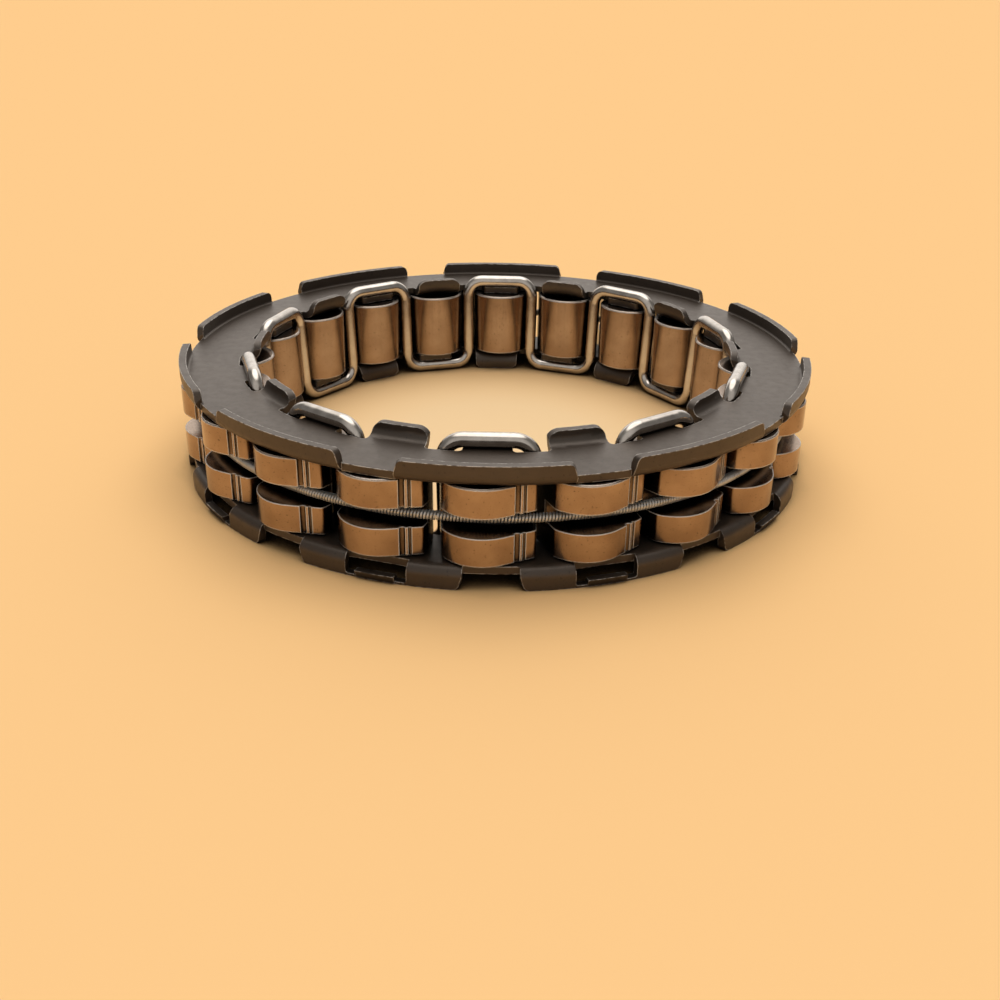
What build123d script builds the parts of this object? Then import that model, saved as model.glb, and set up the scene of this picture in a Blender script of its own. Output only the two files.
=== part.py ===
from build123d import *
import math
import os

# Sprag clutch element: twenty sprags between two pressed side rings, laced together by one
# serpentine wire and girdled by a garter spring. Millimetres, +Z along the bore axis, origin on
# the bore axis at the middle of the height. Angles count from FRONT, counter-clockwise from above.

SPRAG_COUNT = 20
PITCH = 360 / SPRAG_COUNT            # one sprag
DOUBLE_PITCH = 2 * PITCH             # one outer tab, one tongue, one inner tab, one top loop
RING_REPEATS = SPRAG_COUNT // 2
FRONT = -90                          # the -Y side carries the first sprag

# side rings, pressed from sheet
SHEET = 0.9
UPPER_TAB_END = 7.1                  # heights over the middle plane
LOWER_TAB_END = 7.25                 # the clutch stands on these
WEB_OUTER_FACE = 5.55                # height of a web's outward face over the middle plane
WEB_INNER_FACE = WEB_OUTER_FACE - SHEET
RING_RADIUS = 40.0                   # outer faces of the outer tabs
WEB_RADIUS = 39.3                    # raw edge of the web between the tabs
LOWER_RING_TURN = PITCH + 1.05       # the lower ring lies turned in the play of its notches
OUTER_BEND = 0.3                     # inside radius of the outer tabs' bend
OUTER_TAB_HALF = 13.6                # half angle at the foot
OUTER_TAB_TOP_HALF = 12.9            # half angle at the end
OUTER_TAB_CORNER = 0.7
BORE_RADIUS = 30.2                   # inner faces of the inner tabs
INNER_BEND = 1.0
INNER_TAB_HALF = 6.0
INNER_TAB_CORNER = 1.4
NOTCH_RADIUS = 32.75                 # bottom of the notches that pass the wire
NOTCH_CORNER = 0.5
UPPER_TONGUE_RADIUS = 31.1
LOWER_TONGUE_RADIUS = 30.4
TONGUE_HALF = 4.8
TONGUE_CORNER = 0.5

# pierced window with a lanced snap tongue in each outer tab of the lower ring
WINDOW_HALF = 5.0
WINDOW_END = 6.95                    # height of the window's far edge
WINDOW_CORNER = 0.25
SNAP_HALF = 3.2
SNAP_TIP = 6.3                       # height of the snap tongue's free end
SNAP_LEAN = 0.35                     # how far the free end stands out of the tab

# lacing wire
WIRE = 1.7
TOP_LOOP_RADIUS = 31.8               # at the corners, so the legs lean outward at the top
BOTTOM_LOOP_RADIUS = 31.0
LEG_HALF = 8.9                       # angle between a top loop's middle and its legs
WIRE_BEND = 2.2                      # centre-line radius
WIRE_TURN = 0.25                     # the wire lies turned between the two rings
WIRE_LEVEL = WEB_OUTER_FACE + WIRE / 2

# garter spring
SPRING_RADIUS = 37.2
SPRING_COIL = 1.1

# sprag: radial places, and tangential ones counted toward its toe, counter-clockwise from above
SPRAG_HALF_LENGTH = 4.53
SPRAG_CHAMFER = 0.15
OUTER_CREST = 40.0
OUTER_CAM = 4.76
OUTER_CAM_SHIFT = -0.43              # tangential place of the outer cam's centre
RAMP_START = 1.85                    # the outer cam runs out here into a straight ramp
INNER_CREST = 29.1
INNER_CAM_SHIFT = 0.12
INNER_CAM_HALF = 4.2                 # half width where the inner cam starts
INNER_CAM_START = 32.3
HEEL_END = -4.6
TOE_END = 5.35
TOE_UNDERSIDE = 36.1
HEEL_BODY = -5.05                    # the body's sides, and the radius where they end
HEEL_BODY_FOOT = 33.2
TOE_BODY = 4.9
TOE_BODY_FOOT = 33.8
HEAD_CORNER = 0.5
RELIEFS = ((3.39, 0.33), (4.1, 0.18))  # fine grooves along the ramp: place and radius
GROOVE_HALF = 1.15                   # half width of the spring groove
GROOVE_HEEL = 35.0
GROOVE_MIDDLE = 36.3
GROOVE_TOE = 35.5


def polar(radius, angle, height=0.0):
    a = math.radians(angle)
    return Vector(radius * math.cos(a), radius * math.sin(a), height)


def save(shape, name):
    shape.label = name
    export_step(shape, f"parts/{name}.step")


def sector(inner, outer, half):
    """Flat piece of a ring about the X axis, from -half to +half degrees."""
    near = CenterArc((0, 0), inner, -half, 2 * half)
    far = CenterArc((0, 0), outer, -half, 2 * half)
    return make_face([near, far, Line(near @ 0, far @ 0), Line(near @ 1, far @ 1)])


def around(shape, start=0.0):
    """Copies of a shape at every second pitch."""
    return [Rot(0, 0, start + k * DOUBLE_PITCH) * shape for k in range(RING_REPEATS)]


def bent_tab(wall, bend, end, half, outward):
    """Sheet bent up from the web: wall is the radius of its face away from the ring's middle."""
    side = 1 if outward else -1
    foot = wall - side * (SHEET + bend)
    back = wall - side * SHEET
    low, high = WEB_INNER_FACE, WEB_OUTER_FACE
    reach = SHEET + bend
    turn = math.sqrt(0.5)
    outside = ThreePointArc((foot, low), (foot + side * reach * turn, low + reach * (1 - turn)),
                            (wall, low + reach))
    inside = ThreePointArc((foot, high), (foot + side * bend * turn, high + bend * (1 - turn)),
                           (back, high + bend))
    top = Polyline((wall, low + reach), (wall, end), (back, end), (back, high + bend))
    section = Plane.XZ * make_face([outside, inside, top, Line((foot, low), (foot, high))])
    return Rot(0, 0, -half) * revolve(section, Axis.Z, revolution_arc=2 * half)


def tab_outline(foot_half, end_half, end, corner):
    """Prism along the X axis with the side view of a tab, its end corners rounded."""
    outline = make_face(Polyline((-foot_half, WEB_INNER_FACE), (foot_half, WEB_INNER_FACE),
                                 (foot_half, WEB_OUTER_FACE), (end_half, end), (-end_half, end),
                                 (-foot_half, WEB_OUTER_FACE), close=True))
    outline = fillet(outline.vertices().group_by(Axis.Y)[-1], corner)
    return extrude(Plane.YZ * outline, 2 * RING_RADIUS)


def web(tongue_radius):
    """Flat of the ring with its tongues, notches and tab roots."""
    outer_foot = RING_RADIUS - SHEET - OUTER_BEND
    inner_foot = BORE_RADIUS + SHEET + INNER_BEND
    gap_half = PITCH - OUTER_TAB_HALF
    flat = Sketch() + Circle(outer_foot) - Circle(NOTCH_RADIUS)
    overlap = 0.3
    flat += around(sector(outer_foot - overlap, WEB_RADIUS, gap_half), PITCH)
    tongue = sector(tongue_radius, NOTCH_RADIUS + overlap, TONGUE_HALF)
    tips = [v for v in tongue.vertices() if math.hypot(v.X, v.Y) < tongue_radius + 0.1]
    flat += around(fillet(tips, TONGUE_CORNER))
    flat += around(sector(inner_foot, NOTCH_RADIUS + overlap, INNER_TAB_HALF), PITCH)
    roots = [v for v in flat.vertices() if abs(math.hypot(v.X, v.Y) - NOTCH_RADIUS) < 0.02]
    flat = fillet(roots, NOTCH_CORNER)
    return Pos(0, 0, WEB_INNER_FACE) * extrude(flat, SHEET)


def outer_tab(end):
    foot_half = RING_RADIUS * math.sin(math.radians(OUTER_TAB_HALF))
    end_half = RING_RADIUS * math.sin(math.radians(OUTER_TAB_TOP_HALF))
    tab = bent_tab(RING_RADIUS, OUTER_BEND, end, OUTER_TAB_HALF, True)
    return tab & tab_outline(foot_half, end_half, end, OUTER_TAB_CORNER)


def inner_tab(end):
    half = (BORE_RADIUS + SHEET) * math.sin(math.radians(INNER_TAB_HALF)) + 0.1
    tab = bent_tab(BORE_RADIUS, INNER_BEND, end, INNER_TAB_HALF, False)
    return tab & tab_outline(half, half - 0.15, end, INNER_TAB_CORNER)


def window():
    """Cutter through an outer tab and its bend."""
    half = RING_RADIUS * math.sin(math.radians(WINDOW_HALF))
    height = WINDOW_END - WEB_INNER_FACE + 1
    opening = extrude(Plane.YZ * RectangleRounded(2 * half, height, WINDOW_CORNER), 4)
    bend_start = RING_RADIUS - SHEET - OUTER_BEND
    return Pos(bend_start, 0, WINDOW_END - height / 2) * opening


def snap_tongue():
    """Tongue left standing in a window, leaning out of the tab at its free end."""
    face = RING_RADIUS
    back = face - SHEET
    foot = (WINDOW_END + LOWER_TAB_END) / 2
    section = make_face(Polyline((back, foot), (face, foot), (face + SNAP_LEAN, SNAP_TIP),
                                 (back + SNAP_LEAN, SNAP_TIP), close=True))
    plate = revolve(Plane.XZ * section, Axis.Z, revolution_arc=2 * SNAP_HALF)
    return Rot(0, 0, -SNAP_HALF) * plate


def side_ring(end, tongue_radius, windows):
    """Ring with its tabs bent up; a tongue and an outer tab stand on the X axis."""
    tab = outer_tab(end)
    if windows:
        tab = tab - window() + snap_tongue()
    return web(tongue_radius) + around(tab) + around(inner_tab(end), PITCH)


def lacing_wire():
    """Closed serpentine: a leg between each two sprags, loops over both rings in turn."""
    bottom_middle = BOTTOM_LOOP_RADIUS * math.cos(math.radians(PITCH - LEG_HALF))
    corners = [
        polar(bottom_middle, -PITCH, -WIRE_LEVEL),
        polar(BOTTOM_LOOP_RADIUS, -LEG_HALF, -WIRE_LEVEL),
        polar(TOP_LOOP_RADIUS, -LEG_HALF, WIRE_LEVEL),
        polar(TOP_LOOP_RADIUS, LEG_HALF, WIRE_LEVEL),
        polar(BOTTOM_LOOP_RADIUS, LEG_HALF, -WIRE_LEVEL),
        polar(bottom_middle, PITCH, -WIRE_LEVEL),
    ]
    path = FilletPolyline(*corners, radius=WIRE_BEND)
    section = Plane(origin=corners[0], z_dir=corners[1] - corners[0]) * Circle(WIRE / 2)
    period = sweep(section, path)
    copies = around(period)
    return copies[0].fuse(*copies[1:])


def garter_spring():
    return Torus(SPRING_RADIUS, SPRING_COIL / 2)


def ramp_radius(place):
    """Radial place of the sprag's ramp, tangent to the end of the outer cam."""
    run = RAMP_START - OUTER_CAM_SHIFT
    rise = math.sqrt(OUTER_CAM ** 2 - run ** 2)
    return OUTER_CREST - OUTER_CAM + rise - (place - RAMP_START) * run / rise


def sprag_section():
    """Plan outline of a sprag on the X axis: outer cam, ramp, toe, body and inner cam."""
    outer = OUTER_CREST - OUTER_CAM
    heel_corner = outer + math.sqrt(OUTER_CAM ** 2 - (HEEL_END - OUTER_CAM_SHIFT) ** 2)
    outer_face = ThreePointArc((heel_corner, HEEL_END), (OUTER_CREST, OUTER_CAM_SHIFT),
                               (ramp_radius(RAMP_START), RAMP_START))
    toe_cam = INNER_CAM_SHIFT + INNER_CAM_HALF
    heel_cam = INNER_CAM_SHIFT - INNER_CAM_HALF
    toe = Polyline(outer_face @ 1, (ramp_radius(TOE_END), TOE_END), (TOE_UNDERSIDE, TOE_END),
                   (TOE_UNDERSIDE - 0.7, TOE_BODY), (TOE_BODY_FOOT, TOE_BODY),
                   (INNER_CAM_START, toe_cam))
    inner_face = ThreePointArc(toe @ 1, (INNER_CREST, INNER_CAM_SHIFT), (INNER_CAM_START, heel_cam))
    heel = Polyline(inner_face @ 1, (HEEL_BODY_FOOT, HEEL_BODY), outer_face @ 0)
    outline = make_face([outer_face, toe, inner_face, heel])
    corners = [v for v in outline.vertices() if v.X > TOE_UNDERSIDE - 0.1 and abs(v.Y) > 4.5]
    return fillet(corners, HEAD_CORNER)


def reliefs():
    """Cutters of the fine grooves along the ramp."""
    length = 2 * SPRAG_HALF_LENGTH + 2
    return [Pos(ramp_radius(place), place) * Cylinder(radius, length) for place, radius in RELIEFS]


def sprag():
    body = Pos(0, 0, -SPRAG_HALF_LENGTH) * extrude(sprag_section(), 2 * SPRAG_HALF_LENGTH)
    body = chamfer(body.faces().filter_by(Axis.Z).edges(), SPRAG_CHAMFER) - reliefs()
    floor = ThreePointArc((GROOVE_HEEL, HEEL_END), (GROOVE_MIDDLE, 0.3), (GROOVE_TOE, TOE_END))
    far = OUTER_CREST + 2
    side = Polyline(floor @ 1, (GROOVE_TOE, TOE_END + 1), (far, TOE_END + 1),
                    (far, HEEL_END - 1), (GROOVE_HEEL, HEEL_END - 1), floor @ 0)
    groove = extrude(make_face([floor, side]), 2 * GROOVE_HALF)
    return body - Pos(0, 0, -GROOVE_HALF) * groove


os.makedirs("parts", exist_ok=True)
save(Rot(0, 0, FRONT) * side_ring(UPPER_TAB_END, UPPER_TONGUE_RADIUS, False), "upper_ring")
lower = mirror(side_ring(LOWER_TAB_END, LOWER_TONGUE_RADIUS, True), about=Plane.XY)
save(Rot(0, 0, FRONT + LOWER_RING_TURN) * lower, "lower_ring")
save(Rot(0, 0, FRONT + WIRE_TURN) * lacing_wire(), "lacing_wire")
save(garter_spring(), "garter_spring")
one_sprag = sprag()
for k in range(SPRAG_COUNT):
    save(Rot(0, 0, FRONT + k * PITCH) * one_sprag, f"sprag_{k + 1:02d}")
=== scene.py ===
import math

import bpy
import numpy as np
from mathutils import Matrix, Vector


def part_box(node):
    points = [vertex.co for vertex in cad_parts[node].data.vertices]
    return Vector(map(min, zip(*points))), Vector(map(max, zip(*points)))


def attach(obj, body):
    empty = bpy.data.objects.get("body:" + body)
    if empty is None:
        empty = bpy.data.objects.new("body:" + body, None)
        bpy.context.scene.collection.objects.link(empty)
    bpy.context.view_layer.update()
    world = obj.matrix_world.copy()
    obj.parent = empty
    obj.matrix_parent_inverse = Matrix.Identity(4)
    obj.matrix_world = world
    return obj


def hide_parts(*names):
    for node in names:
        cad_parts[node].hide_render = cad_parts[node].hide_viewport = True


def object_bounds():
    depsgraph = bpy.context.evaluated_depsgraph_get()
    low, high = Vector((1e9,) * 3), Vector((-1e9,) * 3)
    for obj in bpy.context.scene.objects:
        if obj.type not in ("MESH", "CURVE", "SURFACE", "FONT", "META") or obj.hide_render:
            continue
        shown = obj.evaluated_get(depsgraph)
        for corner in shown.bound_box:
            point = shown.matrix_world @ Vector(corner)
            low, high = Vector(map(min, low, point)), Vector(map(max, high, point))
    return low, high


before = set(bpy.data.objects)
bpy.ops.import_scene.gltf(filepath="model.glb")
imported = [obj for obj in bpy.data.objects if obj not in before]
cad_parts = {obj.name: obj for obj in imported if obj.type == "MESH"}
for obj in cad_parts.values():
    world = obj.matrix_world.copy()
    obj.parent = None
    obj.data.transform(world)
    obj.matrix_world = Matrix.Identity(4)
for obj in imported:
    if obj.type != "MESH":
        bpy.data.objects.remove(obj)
cad_box = [list(corner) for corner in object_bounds()]

MM = 0.001

# studio
BACKDROP = (0.982, 0.604, 0.266)
FLOOR_COLOUR = (0.982, 0.612, 0.280)
BORE_GLOW = (0.955, 0.745, 0.471)    # painted light: the floor is paler inside the bore, where the polished metal throws light onto it
BORE_GLOW_SHARE = 0.6
BORE_GLOW_EDGE = (16 * MM, 36 * MM)  # fades out from the first radius to the second
FLOOR_REACH = 40.0                   # metres from the middle to a corner
LIGHT_COLOUR = (1.0, 0.975, 0.935)
ROOM_LIGHT = 0.21
SOFTBOXES = (                        # direction, inner and outer half angles, added light
    ((0.0, 0.25, 1.0), (24, 38), 2.12),
    ((0.0, 1.0, 0.35), (15, 50), 1.10),
    ((0.0, -1.0, 0.40), (25, 70), 0.40),
)

# camera: where it stands, what it points at, and how far it is turned off that point
CAMERA_PLACE = Vector((3.254, -148.30, 55.68)) * MM
CAMERA_POINT = Vector((0, 0, -0.19)) * MM
CAMERA_YAW, CAMERA_PITCH, CAMERA_ROLL = 0.31308, -5.09685, -0.85452
CAMERA_LENS = 42.864
CAMERA_CLIP = (0.005, 20)

# garter spring, wound as a real helix inside the CAD node's envelope
SPRING_RADIUS = 37.2 * MM
SPRING_WIRE = 0.3 * MM
SPRING_TURNS = 660
STEPS_PER_TURN = 14
SPRING_SIDES = 7

# colours of the steels; where there are two, the surface wanders between them
PHOSPHATE = ((0.037, 0.025, 0.017), (0.051, 0.037, 0.027))
PHOSPHATE_STAIN = (0.024, 0.017, 0.012)
PHOSPHATE_TINT = (1.0, 0.90, 0.82, 1)
PIT = (0.012, 0.010, 0.008)
WORN_EDGE = (0.78, 0.73, 0.67)
SPRAG_STEEL = ((0.285, 0.198, 0.140), (0.400, 0.290, 0.214))
SPRAG_SPECK = (0.04, 0.028, 0.02)
# painted highlight: near white laid on the sprags' rims to stand for the light they catch
SPRAG_RIM_HIGHLIGHT = (1.0, 0.98, 0.94)
WIRE_STEEL = ((0.48, 0.43, 0.385), (0.61, 0.555, 0.50))
SPRING_STEEL = ((0.42, 0.42, 0.41), (0.62, 0.62, 0.61))
# painted shade: the near black that shade() lays into gaps and grooves
PAINTED_SHADE_COLOUR = (0.004, 0.003, 0.002)


# ---------------------------------------------------------------- shader nodes

class Nodes:
    """Small helper that adds nodes to a node tree and links them."""

    def __init__(self, tree):
        self.tree = tree

    def add(self, kind, inputs=(), **settings):
        node = self.tree.nodes.new(kind)
        for key, value in settings.items():
            setattr(node, key, value)
        for key, value in dict(inputs).items():
            self.feed(node, key, value)
        return node

    def feed(self, node, key, value):
        if isinstance(value, bpy.types.NodeSocket):
            self.tree.links.new(value, node.inputs[key])
        else:
            node.inputs[key].default_value = value

    def calc(self, operation, a, b):
        return self.add("ShaderNodeMath", {0: a, 1: b}, operation=operation).outputs[0]

    def dot(self, a, b):
        return self.add("ShaderNodeVectorMath", {0: a, 1: b}, operation="DOT_PRODUCT").outputs["Value"]

    def remap(self, value, low, high, to_low, to_high, curve="LINEAR"):
        return self.add("ShaderNodeMapRange", {"Value": value, "From Min": low, "From Max": high,
                                               "To Min": to_low, "To Max": to_high},
                        interpolation_type=curve).outputs[0]


class Material(Nodes):
    """A material built round one Principled BSDF, in the object's own coordinates."""

    def __init__(self, name):
        self.material = bpy.data.materials.new(name)
        self.material.use_nodes = True
        super().__init__(self.material.node_tree)
        self.shader = self.tree.nodes["Principled BSDF"]

    def coords(self, stretch=(1, 1, 1)):
        source = self.add("ShaderNodeTexCoord").outputs["Object"]
        return self.add("ShaderNodeMapping", {"Vector": source, "Scale": stretch}).outputs[0]

    def noise(self, scale, detail, roughness, coords=None):
        inputs = {"Vector": coords or self.coords(), "Scale": scale, "Detail": detail,
                  "Roughness": roughness}
        return self.add("ShaderNodeTexNoise", inputs).outputs["Fac"]

    def mix(self, factor, a, b):
        node = self.add("ShaderNodeMix", data_type="RGBA")
        self.feed(node, 0, factor)
        for key, colour in ((6, a), (7, b)):
            self.feed(node, key, colour if isinstance(colour, bpy.types.NodeSocket) else (*colour, 1))
        return node.outputs[2]

    def wander(self, value, colours, spread):
        """Mixes two colours by a noise, over its range of 0.5 less and plus the spread."""
        return self.mix(self.remap(value, 0.5 - spread, 0.5 + spread, 0, 1), *colours)

    def rounded(self, radius, samples):
        """The normal as if every edge had this radius."""
        return self.add("ShaderNodeBevel", {"Radius": radius}, samples=samples).outputs[0]

    def edges(self, radius, low, high):
        """1 on the edges of the piece, 0 on its faces."""
        bevel = self.rounded(radius, 4)
        normal = self.add("ShaderNodeNewGeometry").outputs["Normal"]
        return self.remap(self.calc("SUBTRACT", 1.0, self.dot(bevel, normal)), low, high, 0, 1)

    def shade(self, base, reach, low, high, deepest=0.03, local=False):
        """Paints shade into the colour in gaps and grooves, where little light comes."""
        open_sky = self.add("ShaderNodeAmbientOcclusion", {"Distance": reach}, samples=8,
                            only_local=local).outputs["AO"]
        return self.mix(self.remap(open_sky, low, high, deepest, 1.0), PAINTED_SHADE_COLOUR, base)

    def bump(self, height, strength, distance, normal=None):
        inputs = {"Height": height, "Strength": strength, "Distance": distance}
        if normal:
            inputs["Normal"] = normal
        return self.add("ShaderNodeBump", inputs).outputs[0]

    def finish(self, **inputs):
        for key, value in inputs.items():
            self.feed(self.shader, key.replace("_", " "), value)
        return self.material


# ---------------------------------------------------------------- materials

def phosphated_steel():
    """Dark phosphated sheet: satin, with small pits and edges worn bright."""
    m = Material("phosphated_steel")
    mottle = m.noise(900, 4, 0.6)
    cloud = m.noise(120, 3, 0.5)
    grain = m.noise(9000, 3, 0.6)
    base = m.wander(cloud, PHOSPHATE, 0.2)
    base = m.mix(m.remap(mottle, 0.35, 0.65, 0, 0.22), base, PHOSPHATE_STAIN)
    pits = m.remap(m.noise(3000, 2, 0.5), 0.655, 0.70, 0, 1)
    base = m.mix(pits, base, PIT)
    wear = m.remap(m.noise(1600, 3, 0.6), 0.40, 0.54, 0, 1)
    base = m.mix(m.calc("MULTIPLY", m.edges(0.18 * MM, 0.02, 0.25), wear), base, WORN_EDGE)
    # painted shade in the rings' gaps and recesses, such as under the wire loops
    base = m.shade(base, 3.5 * MM, 0.20, 0.60)
    rough = m.remap(mottle, 0.3, 0.7, 0.36, 0.46)
    normal = m.bump(grain, 0.16, 0.02 * MM, m.rounded(0.10 * MM, 6))
    return m.finish(Base_Color=base, Metallic=0.30, IOR=1.75, Specular_Tint=PHOSPHATE_TINT,
                    Roughness=rough, Normal=normal)


def polished_sprag():
    """Hardened polished steel with rims painted near white as highlights, fine lines along the sprag,
    a few specks and painted shade in the grooves.
    """
    m = Material("polished_sprag")
    lines = m.noise(2500, 3, 0.6, m.coords((1, 1, 0.06)))
    base = m.wander(m.noise(260, 3, 0.5), SPRAG_STEEL, 0.2)
    specks = m.remap(m.noise(5200, 2, 0.5), 0.66, 0.72, 0, 0.8)
    base = m.mix(specks, base, SPRAG_SPECK)
    # painted highlight on the rims: paler colour on the edges
    rim_highlight = m.edges(0.24 * MM, 0.02, 0.12)
    base = m.mix(rim_highlight, base, SPRAG_RIM_HIGHLIGHT)
    base = m.shade(base, 0.5 * MM, 0.62, 0.92, deepest=0.02, local=True)    # painted shade in the two fine grooves
    base = m.shade(base, 2.4 * MM, 0.38, 0.84)                              # painted shade in the spring's groove
    rough = m.remap(lines, 0.3, 0.7, 0.16, 0.27)
    normal = m.bump(lines, 0.05, 0.01 * MM, m.rounded(0.22 * MM, 6))
    # the painted rim highlight also turns the rims from metal to matt
    metal = m.remap(rim_highlight, 0, 1, 1.0, 0.05)
    return m.finish(Base_Color=base, Metallic=metal, Roughness=rough, Normal=normal)


def bright_wire():
    """Bright drawn wire, slightly scuffed."""
    m = Material("bright_wire")
    scuff = m.noise(700, 3, 0.55)
    base = m.wander(scuff, WIRE_STEEL, 0.15)
    rough = m.remap(scuff, 0.3, 0.7, 0.17, 0.27)
    normal = m.bump(m.noise(2600, 2, 0.5), 0.04, 0.01 * MM)
    return m.finish(Base_Color=base, Metallic=1.0, Roughness=rough, Normal=normal)


def spring_wire():
    """Grey spring wire."""
    m = Material("spring_wire")
    tone = m.noise(700, 3, 0.6)
    base = m.wander(tone, SPRING_STEEL, 0.15)
    rough = m.remap(tone, 0.3, 0.7, 0.26, 0.40)
    return m.finish(Base_Color=base, Metallic=0.6, Roughness=rough)


def floor_material():
    """Matt coloured floor, with painted light making it paler inside the bore and painted shade
    darkening the gap under the ring.
    """
    m = Material("floor")
    from_middle = m.add("ShaderNodeVectorMath", {0: m.coords()}, operation="LENGTH").outputs["Value"]
    # painted light: paler inside the bore
    pale = m.remap(from_middle, *BORE_GLOW_EDGE, BORE_GLOW_SHARE, 0.0)
    base = m.mix(pale, FLOOR_COLOUR, BORE_GLOW)
    # painted shade on the floor in the gap under the ring
    base = m.shade(base, 5 * MM, 0.25, 0.70)
    return m.finish(Base_Color=base, Roughness=1.0, Specular_IOR_Level=0.0)


def paint(obj, material):
    if not obj.material_slots:
        obj.data.materials.append(material)
    for material_slot in obj.material_slots:
        material_slot.link = "OBJECT"
        material_slot.material = material


# ---------------------------------------------------------------- pieces

def garter_coil():
    """The spring as one closed helix of round wire bent into a ring."""
    low, high = (corner.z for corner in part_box("garter_spring"))
    coil = (high - low) / 2 - SPRING_WIRE / 2
    steps = SPRING_TURNS * STEPS_PER_TURN
    ring = np.linspace(0, 2 * math.pi, steps, endpoint=False)
    wind = ring * SPRING_TURNS
    outward = np.stack([np.cos(ring), np.sin(ring), 0 * ring], 1)
    up = np.array([0, 0, 1.0])
    radial = np.cos(wind)[:, None] * outward + np.sin(wind)[:, None] * up
    centre = SPRING_RADIUS * outward + coil * radial
    tangent = np.roll(centre, -1, 0) - np.roll(centre, 1, 0)
    tangent /= np.linalg.norm(tangent, axis=1)[:, None]
    side = np.cross(tangent, radial)
    side /= np.linalg.norm(side, axis=1)[:, None]
    top = np.cross(side, tangent)
    turn = np.linspace(0, 2 * math.pi, SPRING_SIDES, endpoint=False)[None, :, None]
    around = np.cos(turn) * top[:, None, :] + np.sin(turn) * side[:, None, :]
    points = centre[:, None, :] + SPRING_WIRE / 2 * around
    a = np.arange(steps)[:, None] * SPRING_SIDES + np.arange(SPRING_SIDES)[None, :]
    b = np.roll(a, -1, 1)
    quads = np.stack([a, np.roll(a, -1, 0), np.roll(b, -1, 0), b], 2).reshape(-1, 4)
    mesh = bpy.data.meshes.new("garter_coil")
    mesh.from_pydata(points.reshape(-1, 3).tolist(), [], quads.tolist())
    mesh.update()
    mesh.polygons.foreach_set("use_smooth", [True] * len(mesh.polygons))
    coil_object = bpy.data.objects.new("garter_coil", mesh)
    bpy.context.scene.collection.objects.link(coil_object)
    return coil_object


# ---------------------------------------------------------------- studio

def make_floor():
    """One large triangle, so that no seam runs under the piece."""
    mesh = bpy.data.meshes.new("floor")
    level = cad_box[0][2]
    corners = [(FLOOR_REACH * math.cos(turn), FLOOR_REACH * math.sin(turn), level)
               for turn in (math.pi / 2, math.pi * 7 / 6, math.pi * 11 / 6)]
    mesh.from_pydata(corners, [], [(0, 1, 2)])
    floor = bpy.data.objects.new("floor", mesh)
    bpy.context.scene.collection.objects.link(floor)
    paint(floor, floor_material())


def make_world():
    """Soft studio light: a dim room with soft boxes above, behind and in front of the piece."""
    world = bpy.data.worlds.new("studio")
    bpy.context.scene.world = world
    world.use_nodes = True
    w = Nodes(world.node_tree)
    direction = w.add("ShaderNodeTexCoord").outputs["Generated"]
    level = ROOM_LIGHT
    for aim, spread, power in SOFTBOXES:
        toward = w.dot(direction, Vector(aim).normalized())
        inner, outer = (math.cos(math.radians(half_angle)) for half_angle in spread)
        level = w.calc("ADD", level, w.remap(toward, outer, inner, 0.0, power, "SMOOTHSTEP"))
    light = w.tree.nodes["Background"]
    w.feed(light, "Color", (*LIGHT_COLOUR, 1))
    w.feed(light, "Strength", level)
    seen = w.add("ShaderNodeBackground", {"Color": (*BACKDROP, 1), "Strength": 1.0})
    camera_ray = w.add("ShaderNodeLightPath").outputs["Is Camera Ray"]
    mix = w.add("ShaderNodeMixShader", {0: camera_ray, 1: light.outputs[0], 2: seen.outputs[0]})
    w.feed(w.tree.nodes["World Output"], "Surface", mix.outputs[0])


def turned(a, b, degrees):
    """Two axes of the camera, turned in their own plane."""
    cos, sin = math.cos(math.radians(degrees)), math.sin(math.radians(degrees))
    return a * cos - b * sin, a * sin + b * cos


def make_camera():
    ahead = (CAMERA_POINT - CAMERA_PLACE).normalized()
    right = ahead.cross(Vector((0, 0, 1))).normalized()
    above = right.cross(ahead)
    right, ahead = turned(right, ahead, CAMERA_YAW)
    above, ahead = turned(above, ahead, CAMERA_PITCH)
    right, above = turned(right, above, CAMERA_ROLL)
    data = bpy.data.cameras.new("camera")
    data.lens = CAMERA_LENS
    data.clip_start, data.clip_end = CAMERA_CLIP
    camera = bpy.data.objects.new("camera", data)
    bpy.context.scene.collection.objects.link(camera)
    turn = Matrix((right, above, -ahead)).transposed()
    camera.matrix_world = Matrix.Translation(CAMERA_PLACE) @ turn.to_4x4()
    bpy.context.scene.camera = camera


make_camera()
make_floor()
make_world()
bpy.context.scene.view_settings.view_transform = "Standard"

ring_material = phosphated_steel()
sprag_material = polished_sprag()
for node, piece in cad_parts.items():
    if node.endswith("_ring"):
        paint(piece, ring_material)
    elif node.startswith("sprag"):
        paint(piece, sprag_material)
paint(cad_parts["lacing_wire"], bright_wire())

spring_material = spring_wire()
coil = garter_coil()
paint(coil, spring_material)
paint(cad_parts["garter_spring"], spring_material)
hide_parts("garter_spring")
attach(coil, "cage")
